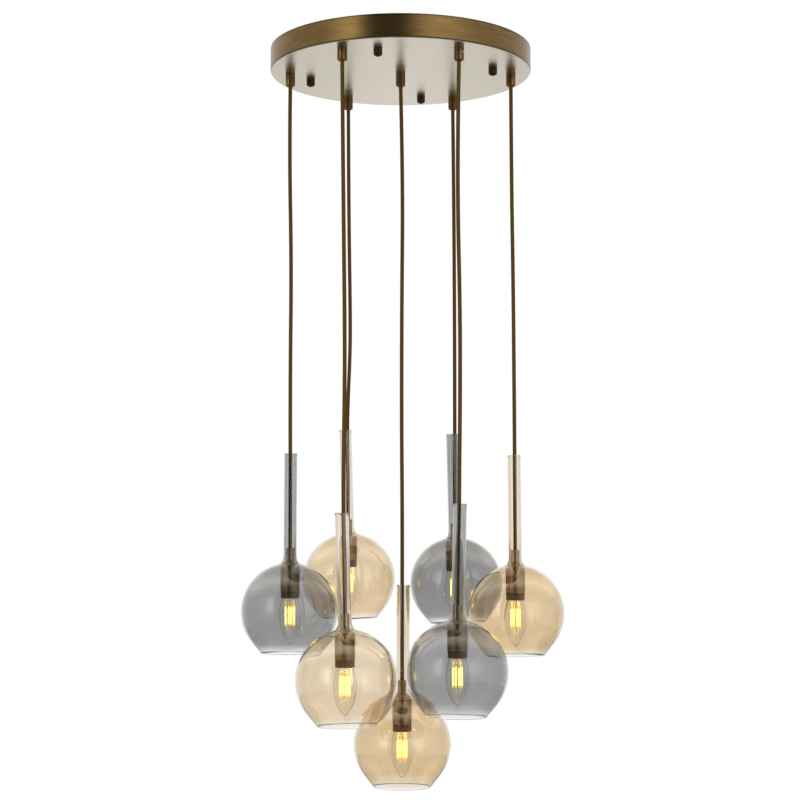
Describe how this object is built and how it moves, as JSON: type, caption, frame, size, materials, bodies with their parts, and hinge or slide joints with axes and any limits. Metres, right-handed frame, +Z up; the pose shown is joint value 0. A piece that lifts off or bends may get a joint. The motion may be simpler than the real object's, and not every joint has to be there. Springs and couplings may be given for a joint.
{
  "type": "cluster pendant light",
  "caption": "Ceiling light with blown glass globes in smoke and amber, hung at different heights on fabric cords from one round metal canopy.",
  "frame": {"origin": "centre of the ceiling bracket's back, in the ceiling plane", "axes": "+Z up into the ceiling, +X to the right and +Y away from the viewer as in the picture; the light hangs in -Z"},
  "size_m": [0.5013, 0.4572, 1.1523],
  "materials": {
    "canopy_metal": "brushed round the side, satin champagne below",
    "bracket_steel": "zinc plated",
    "dark_bronze": "dark bronze, satin",
    "grip_brass": "turned, satin",
    "cord_fabric": "braided, olive brown",
    "glass_smoke": "blown, smoke grey, clear ground rim",
    "glass_amber": "blown, pale amber, clear ground rim",
    "holder_brass": "satin, aged",
    "holder_insert": "moulded, dark brown",
    "bulb_cap_metal": "nickel plated",
    "bulb_clear_glass": "clear, thin",
    "filament": "lit strips, warm white",
    "block_plastic": "moulded, white"
  },
  "bodies": {
    "canopy": {"canopy_dish": "canopy_metal", "ceiling_bracket": "bracket_steel", "bracket_studs": "bracket_steel", "canopy_cap_nuts": "dark_bronze", "cord_grips": "grip_brass", "grip_lock_nuts": "bracket_steel", "grip_set_screws": "grip_brass", "connector_block": "block_plastic", "connector_screws": "bracket_steel", "inner_cord_tails": "cord_fabric"},
    "pendant_left": {"cord_left": "cord_fabric", "holder_cup_left": "holder_brass", "holder_insert_left": "holder_insert"},
    "shade_left": {"glass_shade_left": "glass_smoke"},
    "bulb_left": {"bulb_cap_left": "bulb_cap_metal", "bulb_glass_left": "bulb_clear_glass", "bulb_filaments_left": "filament"},
    "pendant_front_left": {"cord_front_left": "cord_fabric", "holder_cup_front_left": "holder_brass", "holder_insert_front_left": "holder_insert"},
    "shade_front_left": {"glass_shade_front_left": "glass_amber"},
    "bulb_front_left": {"bulb_cap_front_left": "bulb_cap_metal", "bulb_glass_front_left": "bulb_clear_glass", "bulb_filaments_front_left": "filament"},
    "pendant_front_right": {"cord_front_right": "cord_fabric", "holder_cup_front_right": "holder_brass", "holder_insert_front_right": "holder_insert"},
    "shade_front_right": {"glass_shade_front_right": "glass_smoke"},
    "bulb_front_right": {"bulb_cap_front_right": "bulb_cap_metal", "bulb_glass_front_right": "bulb_clear_glass", "bulb_filaments_front_right": "filament"},
    "pendant_right": {"cord_right": "cord_fabric", "holder_cup_right": "holder_brass", "holder_insert_right": "holder_insert"},
    "shade_right": {"glass_shade_right": "glass_amber"},
    "bulb_right": {"bulb_cap_right": "bulb_cap_metal", "bulb_glass_right": "bulb_clear_glass", "bulb_filaments_right": "filament"},
    "pendant_back_right": {"cord_back_right": "cord_fabric", "holder_cup_back_right": "holder_brass", "holder_insert_back_right": "holder_insert"},
    "shade_back_right": {"glass_shade_back_right": "glass_smoke"},
    "bulb_back_right": {"bulb_cap_back_right": "bulb_cap_metal", "bulb_glass_back_right": "bulb_clear_glass", "bulb_filaments_back_right": "filament"},
    "pendant_back_left": {"cord_back_left": "cord_fabric", "holder_cup_back_left": "holder_brass", "holder_insert_back_left": "holder_insert"},
    "shade_back_left": {"glass_shade_back_left": "glass_amber"},
    "bulb_back_left": {"bulb_cap_back_left": "bulb_cap_metal", "bulb_glass_back_left": "bulb_clear_glass", "bulb_filaments_back_left": "filament"},
    "pendant_centre": {"cord_centre": "cord_fabric", "holder_cup_centre": "holder_brass", "holder_insert_centre": "holder_insert"},
    "shade_centre": {"glass_shade_centre": "glass_amber"},
    "bulb_centre": {"bulb_cap_centre": "bulb_cap_metal", "bulb_glass_centre": "bulb_clear_glass", "bulb_filaments_centre": "filament"}
  },
  "joints": [
    {"name": "swing_left", "type": "hinge", "parent": "canopy", "child": "pendant_left", "pos_m": [-0.175, 0, -0.052], "axis": [0, 1, 0], "range_deg": [-0.5, 20]},
    {"name": "lift_left", "type": "slide", "parent": "pendant_left", "child": "shade_left", "axis": [0, 0, 1], "range_m": [0, 0.06]},
    {"name": "unscrew_left", "type": "slide", "parent": "pendant_left", "child": "bulb_left", "axis": [0, 0, -1], "range_m": [0, 0.135]},
    {"name": "swing_front_left", "type": "hinge", "parent": "canopy", "child": "pendant_front_left", "pos_m": [-0.0875, -0.15155, -0.052], "axis": [-0.866, 0.5, 0], "range_deg": [-0.5, 20]},
    {"name": "lift_front_left", "type": "slide", "parent": "pendant_front_left", "child": "shade_front_left", "axis": [0, 0, 1], "range_m": [0, 0.06]},
    {"name": "unscrew_front_left", "type": "slide", "parent": "pendant_front_left", "child": "bulb_front_left", "axis": [0, 0, -1], "range_m": [0, 0.135]},
    {"name": "swing_front_right", "type": "hinge", "parent": "canopy", "child": "pendant_front_right", "pos_m": [0.0875, -0.15155, -0.052], "axis": [-0.866, -0.5, 0], "range_deg": [-0.5, 20]},
    {"name": "lift_front_right", "type": "slide", "parent": "pendant_front_right", "child": "shade_front_right", "axis": [0, 0, 1], "range_m": [0, 0.06]},
    {"name": "unscrew_front_right", "type": "slide", "parent": "pendant_front_right", "child": "bulb_front_right", "axis": [0, 0, -1], "range_m": [0, 0.135]},
    {"name": "swing_right", "type": "hinge", "parent": "canopy", "child": "pendant_right", "pos_m": [0.175, 0, -0.052], "axis": [0, -1, 0], "range_deg": [-0.5, 20]},
    {"name": "lift_right", "type": "slide", "parent": "pendant_right", "child": "shade_right", "axis": [0, 0, 1], "range_m": [0, 0.06]},
    {"name": "unscrew_right", "type": "slide", "parent": "pendant_right", "child": "bulb_right", "axis": [0, 0, -1], "range_m": [0, 0.135]},
    {"name": "swing_back_right", "type": "hinge", "parent": "canopy", "child": "pendant_back_right", "pos_m": [0.0875, 0.15155, -0.052], "axis": [0.866, -0.5, 0], "range_deg": [-0.5, 20]},
    {"name": "lift_back_right", "type": "slide", "parent": "pendant_back_right", "child": "shade_back_right", "axis": [0, 0, 1], "range_m": [0, 0.06]},
    {"name": "unscrew_back_right", "type": "slide", "parent": "pendant_back_right", "child": "bulb_back_right", "axis": [0, 0, -1], "range_m": [0, 0.135]},
    {"name": "swing_back_left", "type": "hinge", "parent": "canopy", "child": "pendant_back_left", "pos_m": [-0.0875, 0.15155, -0.052], "axis": [0.866, 0.5, 0], "range_deg": [-0.5, 20]},
    {"name": "lift_back_left", "type": "slide", "parent": "pendant_back_left", "child": "shade_back_left", "axis": [0, 0, 1], "range_m": [0, 0.06]},
    {"name": "unscrew_back_left", "type": "slide", "parent": "pendant_back_left", "child": "bulb_back_left", "axis": [0, 0, -1], "range_m": [0, 0.135]},
    {"name": "swing_centre", "type": "hinge", "parent": "canopy", "child": "pendant_centre", "pos_m": [0, 0, -0.052], "axis": [0, -1, 0], "range_deg": [-4, 4]},
    {"name": "lift_centre", "type": "slide", "parent": "pendant_centre", "child": "shade_centre", "axis": [0, 0, 1], "range_m": [0, 0.06]},
    {"name": "unscrew_centre", "type": "slide", "parent": "pendant_centre", "child": "bulb_centre", "axis": [0, 0, -1], "range_m": [0, 0.135]}
  ]
}
